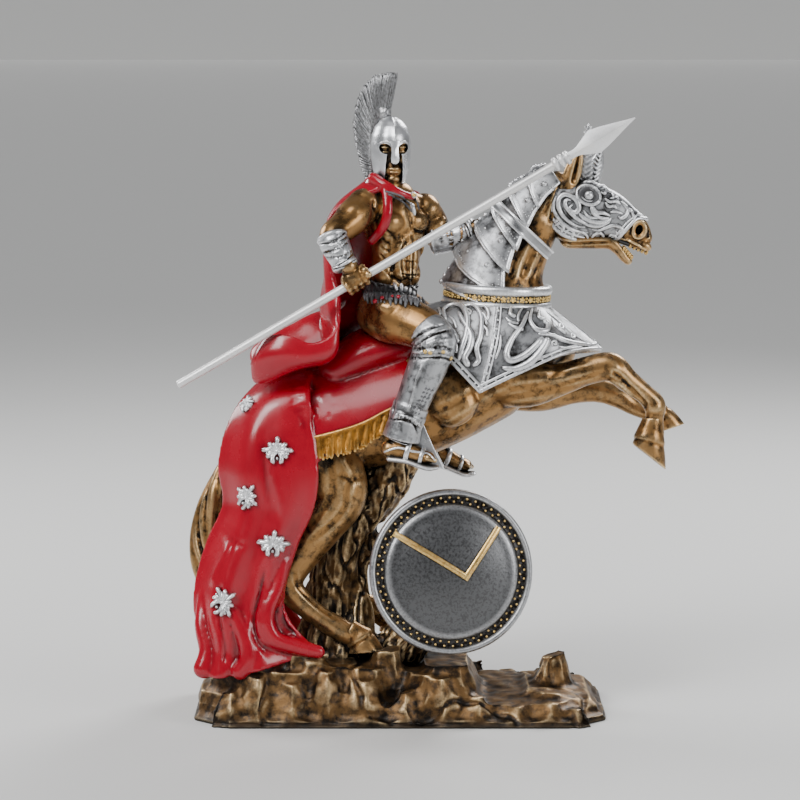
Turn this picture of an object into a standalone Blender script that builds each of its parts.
"""Mounted soldier statuette: a painted resin casting of a rider on a rearing horse, with a
loose spear in the rider's fist and a round shield that leans against the casting.

The forms are drawn on a front view. X runs to the horse's head, Y away from the viewer and
Z up. The front view is taken from a little above, so a drawn height leaves out the rise that
a nearer point gets in it; drawn() puts it back. All drawing numbers are millimetres of a
statuette of DRAWN_HEIGHT, and scale with STATUE_HEIGHT.
"""

import math

import bmesh
import bpy
from mathutils import Vector

# Driving sizes, in metres
STATUE_HEIGHT = 0.320
SPEAR_LENGTH = 0.2575
SPEAR_DIAMETER = 0.0042
SPEARHEAD_LENGTH = 0.036
SPEARHEAD_WIDTH = 0.0125
SHIELD_DIAMETER = 0.082
SHIELD_DISH = 0.0065
SHIELD_RIM_WIDTH = 0.0035
SHIELD_RIM_THICKNESS = 0.0034
GRIP_CLEARANCE = 0.0004
SHIELD_CLEARANCE = 0.0004
BASE_LENGTH = 0.207
BASE_DEPTH = 0.106

# The drawing
DRAWN_HEIGHT = 320.0
DRAWN_BASE_LENGTH = 207.0
DRAWN_BASE_DEPTH = 106.0
MM = STATUE_HEIGHT / DRAWN_HEIGHT
SIGHT_SLOPE = 0.123

# Fineness of the casting
CAST_GRAIN = 0.0013
CAST_SHARE = 0.022
SMOOTH_ROUNDS = 4
TUBE_SIDES = 20
STEPS_PER_STATION = 5
CAP_RINGS = 4

# Directions of the rider, whose chest and head are turned to the viewer
CHEST_TURN = math.radians(-55)
HEAD_TURN = math.radians(-70)
CREST_TURN = math.radians(-50)


def drawn(x, h, y):
    """A point of the front view, at depth y, in metres."""
    return Vector((x, y, h - SIGHT_SLOPE * y)) * MM


def facing(turn):
    """(forward, to the figure's right) of something upright that is turned this far from +X."""
    return Vector((math.cos(turn), math.sin(turn), 0)), Vector((math.sin(turn), -math.cos(turn), 0))


def smooth_between(a, b, c, d, t):
    """The smooth curve through b and c at share t between them, as numbers or vectors."""
    return b + (c - a) * (0.5 * t) + (2 * a - 5 * b + 4 * c - d) * (0.5 * t * t) + (
        3 * b - a - 3 * c + d
    ) * (0.5 * t**3)


def smooth_through(values, steps):
    """A smooth run through the values, with this many steps from each to the next."""
    ends = [values[0], *values, values[-1]]
    run = [
        smooth_between(*ends[i : i + 4], step / steps)
        for i in range(len(values) - 1)
        for step in range(steps)
    ]
    return [*run, values[-1]]


def skin_rings(rings, closed_ends=True):
    """A mesh through rings of equally many points, capped at both ends by a point."""
    shape = bmesh.new()
    rows = [[shape.verts.new(point) for point in ring] for ring in rings]
    count = len(rows[0])
    for low, high in zip(rows, rows[1:]):
        for i in range(count):
            j = (i + 1) % count
            shape.faces.new((low[i], low[j], high[j], high[i]))
    if closed_ends:
        for row in (rows[0], rows[-1]):
            centre = shape.verts.new(sum((v.co for v in row), Vector()) / count)
            for i in range(count):
                shape.faces.new((row[(i + 1) % count], row[i], centre))
    bmesh.ops.recalc_face_normals(shape, faces=shape.faces)
    return shape


def limb(stations, across=(0, 1, 0), bulge=1.0):
    """A round-ended limb. A station is (x, h, y, half-height in the view, half-width across)."""
    across = Vector(across).normalized()
    centres = smooth_through([drawn(*s[:3]) for s in stations], STEPS_PER_STATION)
    heights = smooth_through([s[3] * MM for s in stations], STEPS_PER_STATION)
    widths = smooth_through([s[4] * MM for s in stations], STEPS_PER_STATION)
    rings = []
    last = len(centres) - 1
    for i, centre in enumerate(centres):
        along = (centres[min(i + 1, last)] - centres[max(i - 1, 0)]).normalized()
        wide = (across - along * across.dot(along)).normalized()
        high = along.cross(wide)
        ends = [(0.0, 1.0)]
        if i in (0, last):
            turns = [math.pi / 2 * k / CAP_RINGS for k in range(CAP_RINGS)]
            ends = [(math.sin(a) * bulge, math.cos(a)) for a in turns]
        if i == 0:
            ends = [(-out, share) for out, share in reversed(ends)]
        for out, share in ends:
            moved = centre + along * (out * min(heights[i], widths[i]))
            rings.append(
                [
                    moved
                    + high * (math.cos(turn) * heights[i] * share)
                    + wide * (math.sin(turn) * widths[i] * share)
                    for turn in (math.tau * k / TUBE_SIDES for k in range(TUBE_SIDES))
                ]
            )
    return skin_rings(rings)


def lump(x, h, y, along, deep, high, tilt=0.0):
    """An ellipsoid, tilted in the front view."""
    shape = bmesh.new()
    bmesh.ops.create_uvsphere(shape, u_segments=16, v_segments=10, radius=1.0)
    middle = drawn(x, h, y)
    cos, sin = math.cos(tilt), math.sin(tilt)
    for vert in shape.verts:
        a, b, c = vert.co.x * along * MM, vert.co.y * deep * MM, vert.co.z * high * MM
        vert.co = middle + Vector((a * cos - c * sin, b, a * sin + c * cos))
    return shape


def block(points):
    """The smallest solid without hollows around these points, which are in metres."""
    shape = bmesh.new()
    for point in points:
        shape.verts.new(point)
    made = bmesh.ops.convex_hull(shape, input=shape.verts)
    inner = {v for v in made["geom_interior"] if isinstance(v, bmesh.types.BMVert)}
    bmesh.ops.delete(shape, geom=list(inner), context="VERTS")
    bmesh.ops.recalc_face_normals(shape, faces=shape.faces)
    return shape


def mirrored(shape):
    """A copy on the far side of the horse."""
    copy = shape.copy()
    for vert in copy.verts:
        vert.co.y = -vert.co.y
    bmesh.ops.reverse_faces(copy, faces=copy.faces)
    return copy


def smooth_grid(rows, steps):
    """Rows of points made finer both ways."""
    finer = [smooth_through(row, steps) for row in rows]
    columns = [smooth_through(list(column), steps) for column in zip(*finer)]
    return [list(row) for row in zip(*columns)]


def cloth(rows, thickness, folds=None, steps=STEPS_PER_STATION):
    """A shell of this thickness, in drawing millimetres, through rows of points."""
    grid = smooth_grid(rows, steps)
    count, width = len(grid), len(grid[0])
    if folds:
        for r, row in enumerate(grid):
            for c in range(width):
                row[c] = row[c] + folds(r / (count - 1), c / (width - 1))
    normals = []
    for r in range(count):
        for c in range(width):
            down = grid[min(r + 1, count - 1)][c] - grid[max(r - 1, 0)][c]
            over = grid[r][min(c + 1, width - 1)] - grid[r][max(c - 1, 0)]
            normals.append(down.cross(over).normalized())
    shape = bmesh.new()
    half = thickness * MM / 2
    sides = [
        [
            shape.verts.new(grid[i // width][i % width] + normals[i] * (half * sign))
            for i in range(count * width)
        ]
        for sign in (1, -1)
    ]
    for side in sides:
        for r in range(count - 1):
            for c in range(width - 1):
                i = r * width + c
                shape.faces.new((side[i], side[i + 1], side[i + width + 1], side[i + width]))
    border = [c for c in range(width)]
    border += [r * width + width - 1 for r in range(1, count)]
    border += [(count - 1) * width + c for c in range(width - 2, -1, -1)]
    border += [r * width for r in range(count - 2, 0, -1)]
    for i, j in zip(border, border[1:] + border[:1]):
        shape.faces.new((sides[0][i], sides[0][j], sides[1][j], sides[1][i]))
    bmesh.ops.recalc_face_normals(shape, faces=shape.faces)
    return shape


def drawn_rows(rows):
    return [[drawn(*point) for point in row] for row in rows]


def far_rows(rows):
    """The same rows on the far side, at the same heights of the front view."""
    return drawn_rows([[(x, h, -y) for x, h, y in row] for row in rows])


# The horse

BARREL = [
    (-67, 137, 0, 15, 14),
    (-51, 143, 0, 26, 23),
    (-27.5, 145, 0, 26, 25),
    (-2.5, 151, 0, 27, 26),
    (20, 162, 0, 29, 26),
    (45, 177, 0, 30, 24),
    (64, 182, 0, 23, 19),
    (76, 182, 0, 13, 12),
]
NECK = [
    (44, 190, 0, 29, 22),
    (48.5, 208.5, 0, 24.5, 20),
    (51.5, 222, 0, 21, 16),
    (58, 234.5, 0, 17.5, 13),
    (65.5, 246.5, 0, 15, 11),
    (73, 256, 0, 13, 9.5),
    (80, 261, 0, 11, 8.5),
]
HEAD = [
    (79, 256, 0, 11, 8),
    (87, 252, 0, 14.5, 9),
    (95, 250, 0, 14, 8.5),
    (104, 248, 0, 11.3, 7),
    (111, 244.5, 0, 8.8, 6),
    (117, 240.5, 0, 7.4, 5.8),
    (120, 236.5, 0, 5.8, 4.6),
]
LOWER_JAW = [
    (97, 236, 0, 4.5, 5),
    (105, 233.5, 0, 4.2, 4.6),
    (110, 229.5, 0, 4.2, 4.2),
    (113, 226.5, 0, 3, 3.4),
]
NEAR_FORELEG = [
    (45, 172, -12, 18, 10),
    (62, 163.5, -17, 11.5, 9.5),
    (80, 166.5, -18, 8, 7.6),
    (92, 170.5, -18, 7.2, 6.8),
    (104, 172.5, -18, 7.2, 6.6),
    (112, 166, -18, 6, 5.5),
    (121, 159, -17, 5, 4.8),
    (126, 153.5, -16, 5.6, 5.2),
    (126, 146.5, -16, 4.6, 4.4),
    (125, 139.5, -16, 6.2, 5.6),
]
FAR_FORELEG = [
    (48, 166, 12, 15, 10),
    (70, 159, 14, 9, 8.6),
    (87, 161, 15, 7, 6.8),
    (100, 161, 15, 6.2, 6),
    (110, 158, 15, 6, 5.7),
    (118, 153, 15, 4.8, 4.6),
    (127, 149.5, 15, 4.6, 4.4),
    (132, 147.5, 15, 5.6, 5.2),
]
NEAR_HIND_LEG = [
    (-45, 141, -10, 22, 13),
    (-37, 124, -17, 19, 11),
    (-30, 109, -19, 14, 9.5),
    (-38, 94, -20, 11, 8.5),
    (-48, 79, -20, 8.5, 7),
    (-56, 66, -20, 8, 6.2),
    (-51, 56.5, -20, 6.4, 5.6),
    (-41, 48, -20, 5.5, 5),
    (-31, 41.5, -20, 6, 5.5),
    (-23, 37.5, -20, 5.2, 5),
]
FAR_HIND_LEG = [
    (-42, 140, 10, 22, 13),
    (-30, 120, 16, 17, 11),
    (-22, 105, 18, 12, 9),
    (-30, 90, 18, 9.5, 8),
    (-38, 76, 18, 8, 6.5),
    (-37, 65, 18, 6.6, 5.8),
    (-27, 56, 18, 5.5, 5),
    (-15, 50, 18, 5.8, 5.4),
    (-8, 44, 18, 5.2, 5),
]
# A hoof is a block around its coronet and its sole: (x, h, depth of the hoof there) for each.
HOOVES = [
    (-16, [(117, 141, 4.6), (132, 139.5, 4.6), (115.5, 136, 5.4), (125, 127.5, 6.4), (132, 121.5, 2.6)]),
    (15, [(131.5, 154, 4.4), (131, 140, 4.6), (136, 137.5, 6), (144.5, 143.5, 2.4), (140, 147.5, 5)]),
    (-20, [(-27, 40, 5.2), (-16, 39, 5), (-28, 29, 6), (-12, 28.5, 7), (-8, 29.5, 3.4)]),
    (18, [(-13, 48, 5), (-3, 44, 5), (-14, 34, 6), (0, 33.5, 7), (4, 34.5, 3.2)]),
]
TAIL = [
    (-70, 147, 3, 6, 6),
    (-79, 134, 4, 7, 8),
    (-87, 120, 4, 8.5, 9),
    (-93, 106, 3, 10, 9),
    (-96.5, 90, 2, 10, 8),
    (-96, 74, 0, 9, 7.5),
    (-91, 58, -1, 8, 7),
    (-86, 42, -1, 8.5, 8),
    (-84, 24, -1, 10, 10),
]


def ear(x, h, y, lean):
    """A pointed, upright ear, in drawing millimetres, whose tip leans forward by lean."""
    rise = [(0, 2.8), (5, 3.9), (11, 3.9), (16, 2.4), (20, 0.8)]
    return limb([(x + lean * up / 20, h + up, y, wide, 2.2) for up, wide in rise])


NECK_PLATES = 5
PLATE_RISE = 1.3
PLATE_SHIFT = (-1.6, 0.9)


def neck_plates():
    """Plates that overlap like tiles along the mane, each widest at its lower edge."""
    fine = 12
    run = smooth_through([Vector(station) for station in NECK[1:]], fine)
    parts = []
    for k in range(NECK_PLATES):
        low = round(k * (len(run) - 1) / NECK_PLATES)
        high = min(len(run) - 1, round((k + 1.15) * (len(run) - 1) / NECK_PLATES))
        ends = []
        for i, rise in ((low, PLATE_RISE), (high, -0.4)):
            x, h, y, tall, wide = run[i]
            ends.append((x + PLATE_SHIFT[0], h + PLATE_SHIFT[1], y, tall + rise, wide + rise))
        parts.append(limb(ends, bulge=0.1))
    return parts


def horse():
    parts = [limb(BARREL), limb(NECK), limb(HEAD), limb(TAIL), *neck_plates()]
    parts += [limb(leg) for leg in (NEAR_FORELEG, FAR_FORELEG, NEAR_HIND_LEG, FAR_HIND_LEG)]
    for y, corners in HOOVES:
        points = [drawn(x, h, y + side * deep) for x, h, deep in corners for side in (-1, 1)]
        parts.append(block(points))
    parts += [
        lump(84, 246.5, 0, 12, 8.6, 11.5),
        limb(LOWER_JAW),
        lump(54, 183, -12, 22, 13, 24, 0.5),
        lump(54, 183, 12, 22, 13, 24, 0.5),
        ear(84, 261, -5, 7),
        ear(95, 262, 6, 5),
        limb([(92, 262, 0, 2.6, 2.4), (92.5, 278, 0, 2.8, 2), (93.5, 294, 0, 1.6, 1.2)]),
    ]
    return parts


# The harness: a collar ring, a breast plate that hangs from it and a flap behind each leg

COLLAR_MIDDLE = (48.5, 209.5)
COLLAR_HALF_LENGTH = 26.0
COLLAR_HALF_DEPTH = 23.5
COLLAR_SLOPE = math.radians(-3)
COLLAR_BAND = 5.4
COLLAR_THICKNESS = 3.2
PLATE_THICKNESS = 3.0
BREAST_PLATE = [
    [(22, 206, -1), (27.5, 206, -15), (46, 205.5, -24), (65, 204.5, -16), (74.5, 203.5, -1)],
    [(12.5, 202, -1), (16, 194, -26), (42, 184, -35), (72.5, 190.5, -27), (88, 191.5, -5)],
    [(8, 199, -1), (16, 182.5, -32), (39, 160, -39), (80, 177.5, -30), (100, 181, -8)],
]
LEG_FLAP = [[(-3, 177.5, -30), (24, 174, -30)], [(-8.5, 137, -34), (21.5, 124, -35)]]


def collar_point(turn, out, up):
    """A point of the collar: turn runs round the neck, out and up are within the band."""
    cos, sin = math.cos(COLLAR_SLOPE), math.sin(COLLAR_SLOPE)
    along = (COLLAR_HALF_LENGTH + out) * math.cos(turn)
    x = COLLAR_MIDDLE[0] + along * cos - up * sin
    h = COLLAR_MIDDLE[1] + along * sin + up * cos
    return Vector((x, (COLLAR_HALF_DEPTH + out) * math.sin(turn), h)) * MM


def collar():
    half = COLLAR_THICKNESS
    section = [
        (-half, -COLLAR_BAND), (half, -COLLAR_BAND), (half * 1.2, 0),
        (half, COLLAR_BAND), (-half, COLLAR_BAND),
    ]
    shape = bmesh.new()
    rows = [
        [shape.verts.new(collar_point(math.tau * k / 40, out, up)) for out, up in section]
        for k in range(40)
    ]
    for row, following in zip(rows, rows[1:] + rows[:1]):
        for i in range(len(section)):
            j = (i + 1) % len(section)
            shape.faces.new((row[i], row[j], following[j], following[i]))
    bmesh.ops.recalc_face_normals(shape, faces=shape.faces)
    return shape


def harness():
    plate = cloth(drawn_rows(BREAST_PLATE), PLATE_THICKNESS)
    flap = cloth(drawn_rows(LEG_FLAP), 2.6, steps=2)
    return [collar(), plate, mirrored(plate), flap, mirrored(flap)]


# The red cloth over the rump, and the rider's cloak

DRAPE = [
    [(-72, 163, -2), (-64, 168, -2), (-55, 171, -2), (-44, 172, -2)],
    [(-80, 153.5, -12), (-69, 157, -20), (-57.5, 160, -23), (-44, 161, -24)],
    [(-87, 138.5, -16), (-74, 140, -27), (-60, 141, -30), (-43, 141, -29)],
    [(-90, 122, -18), (-76, 121, -30), (-60, 120, -34), (-40, 122, -32)],
    [(-88, 104.5, -18), (-75, 102, -31), (-59, 101, -35), (-42, 103, -33)],
    [(-96, 86, -18), (-80, 83.5, -33), (-64, 82, -36), (-50.5, 83.5, -32)],
    [(-102, 65, -20), (-86, 62, -36), (-69, 61, -36), (-57, 62, -33)],
    [(-102.5, 48.5, -22), (-87, 45, -38), (-71, 45, -38), (-56.5, 50, -35)],
    [(-98.5, 33.5, -24), (-86, 30, -39), (-69, 31, -39), (-47.5, 38, -34)],
    [(-102, 17.5, -28), (-87.5, 15, -41), (-69, 19, -41), (-36, 26.5, -35)],
]
DRAPE_THICKNESS = 3.4
FOLD_DEPTH = 3.6
FOLD_COUNT = 2.6
SEAT = [(-32, 172, 0, 9, 20), (-17, 180, 0, 12, 21), (2, 184, 0, 11, 18)]
FRINGE = [
    [(-44, 136, -29), (-30, 139, -30.5), (-18, 143, -30.5), (-6, 150, -29.5)],
    [(-42.5, 126, -29), (-30, 129, -30.5), (-18, 133, -30.5), (-7.5, 139, -29.5)],
]
FRINGE_THICKNESS = 3.4
# A medallion is (x, h, y, half width, half height)
MEDALLIONS = [
    (-75, 155, -17, 4.2, 4.6),
    (-60, 132, -33, 6.6, 5.8),
    (-74, 109, -32, 5.4, 6),
    (-62, 86, -37, 7, 5.6),
    (-86, 56.5, -36, 6, 7),
]
MEDALLION_RISE = 3.4
CLOAK = [
    [
        (-6, 261, -16), (-16, 263, -11), (-16, 265, -4), (-13, 268, 3),
        (-7, 266, 9), (3, 262, 13), (9, 260, 8),
    ],
    [
        (-28, 252, -20), (-30, 253, -12), (-27, 254, -3), (-21, 255, 6),
        (-12, 255, 15), (0, 255, 20), (12, 253, 17),
    ],
    [
        (-35, 240, -21), (-36, 239, -14), (-34, 238, -4), (-28, 238, 6),
        (-18, 238, 15), (-4, 238, 21), (8, 238, 21),
    ],
    [
        (-33, 220, -23), (-36.5, 221, -16), (-35, 221, -5), (-30, 221, 5),
        (-22, 221, 14), (-10, 221, 21), (2, 221, 24),
    ],
    [
        (-29.5, 207, -27), (-35, 204, -24), (-37.5, 203, -13), (-34, 205, -2),
        (-27, 205, 8), (-16, 204, 18), (-4, 203, 27),
    ],
    [
        (-31.5, 191, -34), (-32, 182, -34), (-35, 178, -24), (-42, 190, -14),
        (-44, 197, -5), (-38, 187, 10), (-28, 178, 28),
    ],
    [
        (-42.5, 184, -37), (-44, 176, -37), (-50, 173, -27), (-53, 184, -16),
        (-53, 192, -6), (-50, 181, 10), (-42, 172, 28),
    ],
    [
        (-55, 188, -36), (-57, 177, -38), (-59, 168, -30), (-62, 180, -17),
        (-62, 188, -6), (-60, 177, 10), (-54, 167, 26),
    ],
    [
        (-64, 187, -32), (-69, 176, -34), (-67, 165, -28), (-71, 176, -16),
        (-70, 182, -6), (-68, 171, 10), (-62, 162, 22),
    ],
    [
        (-68, 182, -27), (-72.5, 175, -29), (-71, 166, -26), (-73, 172, -16),
        (-72, 178, -6), (-72, 168, 8), (-66, 160, 18),
    ],
]
CLOAK_THICKNESS = 3.2
CLOAK_STRAP = [
    (-7, 260, -17, 2.6, 2), (-6, 251, -20, 2.6, 2), (-8, 242, -20, 2.6, 2),
    (-14, 235, -15, 2.4, 2),
]


def drape_folds(side):
    """How far the rump cloth of this side stands out, deeper towards its hem."""

    def fold(down, over):
        wave = math.cos(math.tau * FOLD_COUNT * (over + 0.12 * down))
        return Vector((0, side * FOLD_DEPTH * MM * wave * max(0.0, down - 0.15), 0))

    return fold


def saddle_cloth():
    """The cloth on the horse's back and its fringed lower edge, wrapped round the barrel."""
    across, lift = 9, 2.2
    rows = []
    for x, low, hem in ((-66, 137, 124), (-44, 143, 126), (-24, 146, 132), (-6, 151, 140)):
        half = 17 if x < -60 else 26
        top = low + half + lift
        row = []
        for k in range(across):
            turn = math.pi * (k / (across - 1) - 0.5)
            y = (half + lift) * math.sin(turn)
            z = hem + (top - hem) * math.cos(turn)
            row.append(Vector((x, y, z)) * MM)
        rows.append(row)
    return cloth(rows, 4.4, steps=3)


def cloths():
    parts = [
        cloth(drawn_rows(DRAPE), DRAPE_THICKNESS, drape_folds(-1)),
        cloth(far_rows(DRAPE), DRAPE_THICKNESS, drape_folds(1)),
        saddle_cloth(),
        limb(SEAT),
        cloth(drawn_rows(CLOAK), CLOAK_THICKNESS, steps=4),
        limb(CLOAK_STRAP),
    ]
    for rows in (drawn_rows(FRINGE), far_rows(FRINGE)):
        parts.append(cloth(rows, FRINGE_THICKNESS, steps=2))
    for x, h, y, wide, high in MEDALLIONS:
        parts += [lump(x, h, side * y, wide, MEDALLION_RISE, high) for side in (1, -1)]
    return parts


# The rider

TORSO = [
    (-7, 201, 0, 12, 14.5),
    (-4, 215, -1, 10.5, 12.5),
    (-2, 228, -2, 10.5, 13.5),
    (-1.5, 241, -2, 11.5, 15.5),
    (-2, 250, -2, 11, 16.5),
    (-3.5, 257, -2, 8, 12),
]
RIGHT_ARM = [
    (-17, 253.5, -11, 8.5, 8.5),
    (-22, 247.5, -19, 9.3, 9),
    (-28, 241, -26, 8, 7.8),
    (-32.5, 237, -31, 7.2, 7.2),
    (-31, 231, -34, 7.8, 7.4),
    (-28, 226, -36, 6.5, 6.2),
    (-25, 221.5, -38, 4.8, 5),
]
LEFT_ARM = [
    (12, 252, 7, 8, 8),
    (16, 245, 9, 8, 8),
    (19.5, 238.5, 8, 7.4, 7.4),
    (27, 238, 5, 7.2, 7),
    (35, 240.5, 2, 6, 5.8),
    (40, 242.5, 1, 4.6, 4.4),
    (46, 244, 0, 4.4, 4.8),
]
RIGHT_LEG = [
    (-9, 201, -9, 14, 12),
    (-4, 196.5, -20, 12.5, 11),
    (4, 194.5, -27, 11.8, 10.5),
    (13, 190, -33, 10.6, 9.8),
    (19, 185, -36, 10.2, 9.6),
    (14, 174, -38, 9.4, 9),
    (7.5, 158.5, -39, 8.2, 8),
    (3, 146, -39, 7.6, 7.2),
    (0.5, 137, -39, 6.6, 6.2),
]
LEFT_LEG = [
    (-4, 202, 9, 14, 12),
    (4, 198, 20, 12.5, 11),
    (14, 192, 29, 11, 10),
    (25, 186, 34, 10.2, 9.6),
    (26, 173, 37, 9.4, 9),
    (22, 156, 39, 8.2, 8),
    (19, 143, 39, 7.4, 7),
    (18, 133, 39, 6.4, 6),
]
RIGHT_FOOT = [
    (-5, 131.5, -40, 5, 4.6), (3, 130, -41, 5.6, 5.2), (11, 127, -42, 4.4, 5.6),
    (18, 125, -43, 2.8, 5),
]
LEFT_FOOT = [
    (14, 129, 39, 5, 4.6), (23, 126, 40, 5.2, 5.2), (32, 122.5, 41, 4.2, 5.4),
    (38, 120, 42, 2.6, 4.8),
]
BELT = [(-5.6, 207.5, -1, 12.6, 15), (-5, 213.5, -1, 12.4, 14.4)]
# Cuffs of the greaves and bracers
CUFFS = [
    [(17, 179, -37, 11, 10.4), (16, 175.5, -37.4, 10.6, 10.2)],
    [(3.2, 143, -39, 8.2, 8), (1.4, 138, -39, 9.6, 9)],
    [(25.5, 179, 35.5, 11, 10.4), (25.4, 175.5, 36, 10.6, 10.2)],
    [(19.4, 141, 39, 8.2, 8), (18.4, 136, 39, 9.6, 9)],
    [(-32.4, 237.5, -30.5, 9, 8.8), (-32, 234.5, -32, 8.8, 8.6)],
    [(-27.2, 225, -36.4, 7.4, 7), (-26.2, 223.6, -37, 7.4, 7)],
    [(22, 237.6, 7, 8.6, 8.4), (25, 238, 6, 8.4, 8.2)],
    [(36, 241, 2, 6.8, 6.6), (37.4, 241.6, 1.8, 6.8, 6.6)],
]
FIST = (-22.5, 216.5, -38.5)
HELMET_MIDDLE = (-4.5, 281, -4)
CREST_OUTLINE = [
    (0.5, 296),
    (4.7, 316),
    (0, 319.5),
    (-11, 319.5),
    (-19, 316),
    (-25.8, 309),
    (-29, 300),
    (-29, 291),
    (-26, 282),
    (-22, 272),
    (-18.5, 266),
    (-13.5, 268),
    (-11, 281),
    (-8, 292),
]
CREST_THICKNESS = 4.4


def crest():
    """The brush on the helmet, a flat fan that stands in the head's own plane."""
    ahead, right = facing(CREST_TURN)
    middle = drawn(*HELMET_MIDDLE)
    rows = []
    for side in (-1, 1):
        row = []
        for f, h in CREST_OUTLINE:
            point = middle + (ahead * f + right * (side * CREST_THICKNESS / 2)) * MM
            height = h - SIGHT_SLOPE * point.y / MM
            row.append(Vector((point.x, point.y, height * MM)))
        rows.append(row)
    return skin_rings(rows)


def helmet():
    """The closed helmet: a tall dome that runs down into the cheek pieces."""
    x, h, y = HELMET_MIDDLE
    ahead, right = facing(HEAD_TURN)
    rings = []
    profile = [
        (-15.5, 5.5, 7), (-13, 8.2, 9.5), (-6, 9.4, 11), (2, 9.8, 11.6),
        (9, 9, 10.6), (13.5, 6.4, 7.6), (16, 2.6, 3),
    ]
    for up, wide, deep in profile:
        middle = drawn(x, h + up, y)
        turns = [math.tau * k / TUBE_SIDES for k in range(TUBE_SIDES)]
        rings.append([middle + (right * (wide * math.cos(a)) + ahead * (deep * math.sin(a))) * MM for a in turns])
    return skin_rings(rings)


def rider():
    ahead, right = facing(CHEST_TURN)
    parts = [limb(TORSO, across=right)]
    parts += [limb(arm, across=(0.3, 1, 0)) for arm in (RIGHT_ARM, LEFT_ARM)]
    parts += [limb(leg) for leg in (RIGHT_LEG, LEFT_LEG, RIGHT_FOOT, LEFT_FOOT)]
    parts += [
        limb([(-4, 254, -2, 7, 7), (-4.5, 264, -3, 5.6, 5.6), (-4.5, 272, -4, 5.6, 5.6)]),
        lump(*FIST, 8.2, 6.2, 7),
        lump(-8, 252, -11, 9, 6, 6.5),
        lump(5, 251, -5, 8, 6, 6),
        lump(-2.2, 243, -13, 7, 4.6, 6.2),
        lump(8.8, 242, -6.6, 5.2, 4.6, 6.2),
        lump(4, 230, -11, 3.4, 3, 9),
        limb([(-10, 203, 0, 15, 18), (0, 207, 0, 13.5, 16)], across=right),
        limb(BELT, across=right, bulge=0.2),
        *[limb(cuff, bulge=0.2) for cuff in CUFFS],
        helmet(),
        crest(),
    ]
    return parts


# The rocky base and the tree stump that carries the horse

STUMP = [
    (-32, 26, 0, 21, 20),
    (-33.5, 46, 0, 17, 15),
    (-31, 66, 0, 15, 12),
    (-28, 84, 0, 13, 11),
    (-20, 99, 0, 12, 11),
    (-10, 111, 0, 12.5, 12),
    (-2, 124, 0, 12, 13),
]
# A rock is ((x from, x to), (y from, y to), top, how far the top is drawn in, fall to the right)
ROCKS = [
    ((-103.5, 103.5), (-53, 53), 5, 1.5, 0.0),
    ((-103, 99), (-48, 48), 9.5, 3, 0.0),
    ((-103, -2), (-47, 47), 16, 3, 0.0),
    ((-2, 96), (-47, 40), 12.5, 4, 0.0),
    ((-99, 8), (-46, 46), 21, 4, 1.0),
    ((-94, -20), (-45, 44), 27, 3, 1.5),
    ((-62, 4), (-44, 42), 30, 4, 1.5),
    ((-60, -32), (-41, -22), 34.5, 3, 0.5),
    ((-18, 4), (-36, -12), 36, 3, 0.0),
    ((0, 42), (-46, 22), 25, 4, 1.0),
    ((8, 38), (-43, 16), 30, 3, 0.0),
    ((66, 88), (-14, 8), 29, 4, -1.0),
    ((58, 100), (-38, 34), 14.5, 5, 1.5),
]
# A crag of the side walls is (middle, half width, top)
CRAGS = [
    (-84, 10, 18),
    (-70, 10, 25),
    (-54, 12, 22),
    (-36, 9, 28),
    (-18, 12, 24),
    (2, 10, 19),
    (20, 11, 25),
    (38, 10, 16),
    (57, 12, 12),
    (74, 10, 13),
    (87, 8, 10),
]
CRAG_LEAN = 6.0
ROCK_CORNER = 0.22


def rock(spans, deeps, top, draw_in, tilt):
    """A block with cut corners whose top is smaller and tilted."""
    long_share = BASE_LENGTH / (DRAWN_BASE_LENGTH * MM)
    deep_share = BASE_DEPTH / (DRAWN_BASE_DEPTH * MM)
    (x0, x1), (y0, y1) = spans, deeps
    cx, cy, hx, hy = (x0 + x1) / 2, (y0 + y1) / 2, (x1 - x0) / 2, (y1 - y0) / 2
    points = []
    for height, shrink in ((0, 1.0), (top * 0.55, 0.4), (top, draw_in)):
        for sx, sy in ((-1, -1), (1, -1), (1, 1), (-1, 1)):
            for cut_x, cut_y in ((ROCK_CORNER, 0), (0, ROCK_CORNER), (ROCK_CORNER * 0.4, ROCK_CORNER * 0.4)):
                cut = min(hx, hy)
                x = cx + sx * (hx - cut * cut_x * 1.6 - shrink)
                y = cy + sy * (hy - cut * cut_y * 1.6 - shrink)
                slope = tilt * sx if height == top else 0.0
                points.append(Vector((x * long_share, y * deep_share, height - slope)) * MM)
    return block(points)


def crag(middle, half, top, side):
    """A wedge of rock that leans on a side wall of the base and narrows towards its top."""
    long_share = BASE_LENGTH / (DRAWN_BASE_LENGTH * MM)
    deep_share = BASE_DEPTH / (DRAWN_BASE_DEPTH * MM)
    wall = DRAWN_BASE_DEPTH / 2 - 0.5
    points = []
    for share, height in ((1.0, 0), (0.92, top * 0.45), (0.55, top)):
        for across, lean in ((-1, 3.4), (0.15, 0), (1, 4.4)):
            back = lean + CRAG_LEAN * (height / top) ** 2
            points.append((middle + across * half * share, side * (wall - back), height))
        points.append((middle, side * (wall - 16), height))
    return block([Vector((x * long_share, y * deep_share, z)) * MM for x, y, z in points])


def ground():
    parts = [rock(*facts) for facts in ROCKS]
    parts += [crag(*facts, side) for facts in CRAGS for side in (-1, 1)]
    parts += [
        limb(STUMP),
        limb([(-33, 60, -6, 9, 8), (-26, 84, -9, 8, 7), (-14, 104, -9, 9, 6), (1, 117, -8, 6, 5)]),
        limb([(-24, 34, -8, 12, 12), (-20, 50, -6, 8, 8), (-20, 64, -4, 5, 6)]),
        limb([(0, 30, -6, 14, 12), (14, 50, -8, 10, 9), (4, 70, -4, 9, 8), (-16, 84, 0, 9, 8)]),
    ]
    return parts


# The loose pieces

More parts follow.
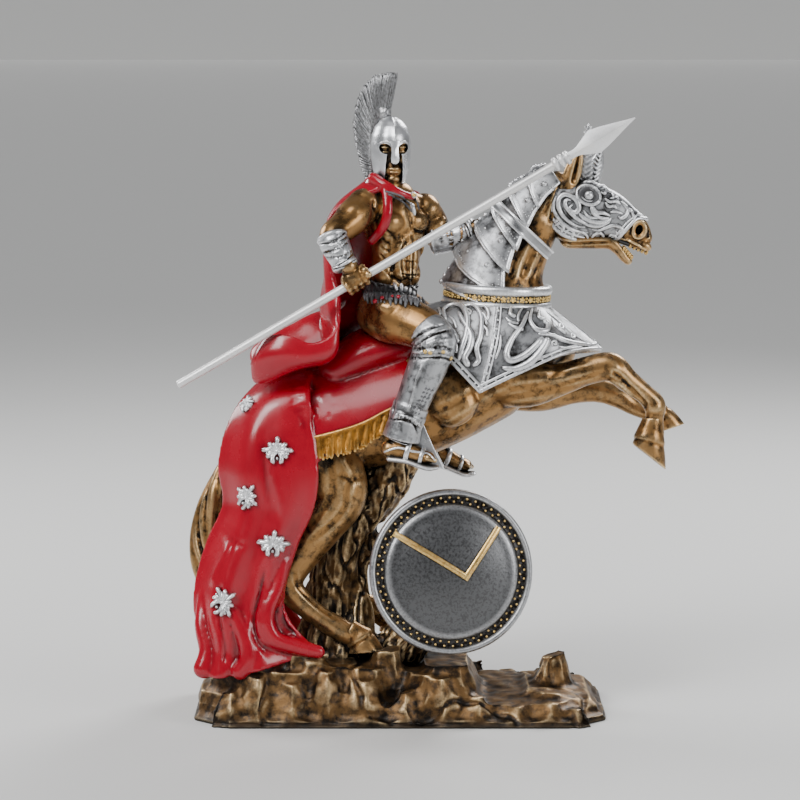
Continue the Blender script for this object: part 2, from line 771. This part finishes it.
SPEAR_BUTT = (-108, 163.5, -38)
SPEAR_TIP = (113.5, 293.5, -34)
SPEAR_SIDES = 12


def spear_line():
    butt = drawn(*SPEAR_BUTT)
    along = (drawn(*SPEAR_TIP) - butt).normalized()
    grip = drawn(*FIST)
    grip = butt + along * along.dot(grip - butt)
    behind = along.dot(grip - butt) / (drawn(*SPEAR_TIP) - butt).length
    return grip - along * (SPEAR_LENGTH * behind), along


def turned(start, along, profile, sides=SPEAR_SIDES, flat=1.0):
    """A turned solid along a line, from (distance, radius) pairs; flat narrows it one way."""
    wide = along.cross(Vector((0, 1, 0))).normalized()
    deep = along.cross(wide)
    rings = []
    for distance, radius in profile:
        turns = [math.tau * k / sides for k in range(sides)]
        middle = start + along * distance
        rings.append(
            [middle + wide * (radius * math.cos(a)) + deep * (radius * flat * math.sin(a)) for a in turns]
        )
    return skin_rings(rings)


def spear_profile(extra=0.0):
    """(distance, radius) along the shaft up to the head's socket, with three collars."""
    r = SPEAR_DIAMETER / 2
    head = SPEAR_LENGTH - SPEARHEAD_LENGTH
    pitch = SPEAR_DIAMETER * 0.75
    shaft = [(0, r * 0.8), (r * 0.4, r + extra), (head - 3.4 * pitch, r + extra)]
    for k in range(3):
        low = head - (3.2 - k) * pitch
        for share, swell in ((0, 1), (0.2, 1.75), (0.7, 1.75), (0.9, 1)):
            shaft.append((low + pitch * share, r * swell))
    return shaft


def add_object(name, shape, colour, metallic, roughness, hidden=False):
    """Makes an object of the shape, with its own material."""
    mesh = bpy.data.meshes.new(name)
    shape.to_mesh(mesh)
    shape.free()
    obj = bpy.data.objects.new(name, mesh)
    bpy.context.scene.collection.objects.link(obj)
    if hidden:
        obj.hide_render = True
        obj.display_type = "WIRE"
        return obj
    paint = bpy.data.materials.new(name + "_paint")
    paint.use_nodes = True
    shader = paint.node_tree.nodes["Principled BSDF"]
    shader.inputs["Base Color"].default_value = (*colour, 1)
    shader.inputs["Metallic"].default_value = metallic
    shader.inputs["Roughness"].default_value = roughness
    mesh.materials.append(paint)
    return obj


def join(parts):
    """All parts in one mesh. They still overlap; the grain of the casting makes them one."""
    whole = bmesh.new()
    for part in parts:
        mesh = bpy.data.meshes.new("part")
        part.to_mesh(mesh)
        part.free()
        whole.from_mesh(mesh)
        bpy.data.meshes.remove(mesh)
    return whole


def spear():
    start, along = spear_line()
    r = SPEAR_DIAMETER / 2
    head = SPEAR_LENGTH - SPEARHEAD_LENGTH
    blade = [
        (head - r * 1.2, r * 0.9),
        (head + SPEARHEAD_LENGTH * 0.12, r * 1.1),
        (head + SPEARHEAD_LENGTH * 0.36, SPEARHEAD_WIDTH / 2),
        (head + SPEARHEAD_LENGTH * 0.7, SPEARHEAD_WIDTH * 0.26),
        (SPEAR_LENGTH, r * 0.12),
    ]
    shaft = add_object("spear", turned(start, along, spear_profile()), (0.75, 0.74, 0.73), 0.6, 0.4)
    form = turned(start, along, blade, sides=8, flat=0.36)
    point = add_object("spear_blade_form", form, (0.7,) * 3, 0, 1, True)
    join_head = shaft.modifiers.new("blade", "BOOLEAN")
    join_head.operation = "UNION"
    join_head.object = point
    return shaft


SHIELD_MIDDLE = (25, 70.5, -27.5)
SHIELD_NORMAL = Vector((0.16, -0.975, 0.14)).normalized()
SHIELD_SIDES = 48
CHEVRON_ARM_WIDTH = 0.0028
CHEVRON_RISE = 0.0012


def shield_axes():
    up = (Vector((0, 0, 1)) - SHIELD_NORMAL * SHIELD_NORMAL.z).normalized()
    return up.cross(SHIELD_NORMAL).normalized(), up


def shield_surface(radius, swell=0.0):
    """How far the front stands before the rim's back plane, at a distance from the middle."""
    bowl = SHIELD_DIAMETER / 2 - SHIELD_RIM_WIDTH
    if radius > bowl:
        return SHIELD_RIM_THICKNESS + swell
    step = SHIELD_RIM_THICKNESS * 0.6
    return step + SHIELD_DISH * (1 - (radius / bowl) ** 2) + swell


def shield_shape(swell=0.0):
    """The dished round shield, or a slightly larger one that cuts its seat."""
    right, up = shield_axes()
    middle = drawn(*SHIELD_MIDDLE)
    rim = SHIELD_DIAMETER / 2
    bowl = rim - SHIELD_RIM_WIDTH
    step = 0.0002
    front = [rim + swell, rim + swell, rim - step * 3, bowl + step, bowl - step]
    front += [bowl * share for share in (0.85, 0.65, 0.45, 0.25, 0.08)]
    outs = [0.0003, SHIELD_RIM_THICKNESS * 0.7 + swell]
    outs += [shield_surface(radius, swell) for radius in front[2:]]
    back = [(0.08 * bowl, -swell), (rim * 0.6, -swell), (rim + swell - step * 3, -swell)]
    profile = [*back, *zip(front, outs)]
    rings = []
    for radius, out in profile:
        turns = [math.tau * k / SHIELD_SIDES for k in range(SHIELD_SIDES)]
        rings.append(
            [middle + (right * math.cos(a) + up * math.sin(a)) * radius + SHIELD_NORMAL * out for a in turns]
        )
    return skin_rings(rings)


def chevron_shape():
    """The raised chevron: two bars that meet low at the shield's middle."""
    right, up = shield_axes()
    middle = drawn(*SHIELD_MIDDLE)
    bowl = SHIELD_DIAMETER / 2 - SHIELD_RIM_WIDTH
    corner = (0.17 * bowl, -0.07 * bowl)
    tips = [(-0.78 * bowl, 0.54 * bowl), (0.66 * bowl, 0.58 * bowl)]
    arms = []
    for tip in tips:
        rings = []
        steps = 8
        direction = Vector((tip[0] - corner[0], tip[1] - corner[1]))
        side = Vector((-direction.y, direction.x)).normalized() * (CHEVRON_ARM_WIDTH / 2)
        start = Vector(corner) - direction.normalized() * (CHEVRON_ARM_WIDTH * 0.5)
        for k in range(steps + 1):
            point = start + (Vector(tip) - start) * (k / steps)
            out = shield_surface(point.length)
            ring = []
            for turn in (45, 135, 225, 315):
                a = math.radians(turn)
                flat = point + side * (math.cos(a) * 1.414)
                rise = out + CHEVRON_RISE * (1 if math.sin(a) > 0 else -1.4)
                ring.append(middle + right * flat.x + up * flat.y + SHIELD_NORMAL * rise)
            rings.append(ring)
        arms.append(skin_rings(rings))
    return arms


def shield():
    plate = add_object("shield", shield_shape(), (0.2, 0.2, 0.21), 0.6, 0.4)
    for number, arm in enumerate(chevron_shape()):
        bar = add_object(f"chevron_form_{number}", arm, (0.5,) * 3, 0, 1, True)
        raised = plate.modifiers.new(f"chevron {number}", "BOOLEAN")
        raised.operation = "UNION"
        raised.object = bar
    return plate


# An opening of the helmet is (from, to) across, (from, to) up, from the middle of the helmet
VISOR = [((-7.4, -1.7), (0.2, 5)), ((1.7, 7.4), (0.2, 5)), ((-3.4, 3.4), (-17, -2.6))]
VISOR_DEPTH = 3.0


def visor_cutters():
    """The eye holes and the gap between the cheek pieces, as shapes to cut from the helmet."""
    ahead, right = facing(HEAD_TURN)
    middle = drawn(*HELMET_MIDDLE)
    shapes = []
    for acrosses, ups in VISOR:
        points = []
        for side in acrosses:
            for up in ups:
                bow = 1.0 - (side / 11) ** 2
                for out in (10.8 * bow + 0.4 - VISOR_DEPTH, 18):
                    points.append(middle + (ahead * out - right * side + Vector((0, 0, up))) * MM)
        shapes.append(block(points))
    return shapes


def cut(statue, name, shape):
    """Cuts a seat for a loose piece out of the casting."""
    cutter = add_object(name, shape, (1, 1, 1), 0, 1, True)
    seat = statue.modifiers.new(name, "BOOLEAN")
    seat.operation = "DIFFERENCE"
    seat.object = cutter


def statue():
    parts = [*ground(), *horse(), *harness(), *cloths(), *rider()]
    cast = add_object("statue", join(parts), (0.3, 0.2, 0.1), 0.5, 0.45)
    grain = cast.modifiers.new("one casting", "REMESH")
    grain.mode = "VOXEL"
    grain.voxel_size = CAST_GRAIN
    smooth = cast.modifiers.new("soften", "SMOOTH")
    smooth.factor = 0.5
    smooth.iterations = SMOOTH_ROUNDS
    fewer = cast.modifiers.new("fewer faces", "DECIMATE")
    fewer.ratio = CAST_SHARE
    start, along = spear_line()
    hole = SPEAR_DIAMETER / 2 + GRIP_CLEARANCE
    before = drawn(*FIST) - start
    grip = along.dot(before)
    reach = 0.02
    cut(cast, "grip_form", turned(start, along, [(grip - reach, hole), (grip + reach, hole)], sides=16))
    cut(cast, "shield_seat_form", shield_shape(SHIELD_CLEARANCE))
    for number, shape in enumerate(visor_cutters()):
        cut(cast, f"visor_form_{number}", shape)
    return cast


def main():
    for obj in list(bpy.data.objects):
        bpy.data.objects.remove(obj)
    statue()
    spear()
    shield()


main()
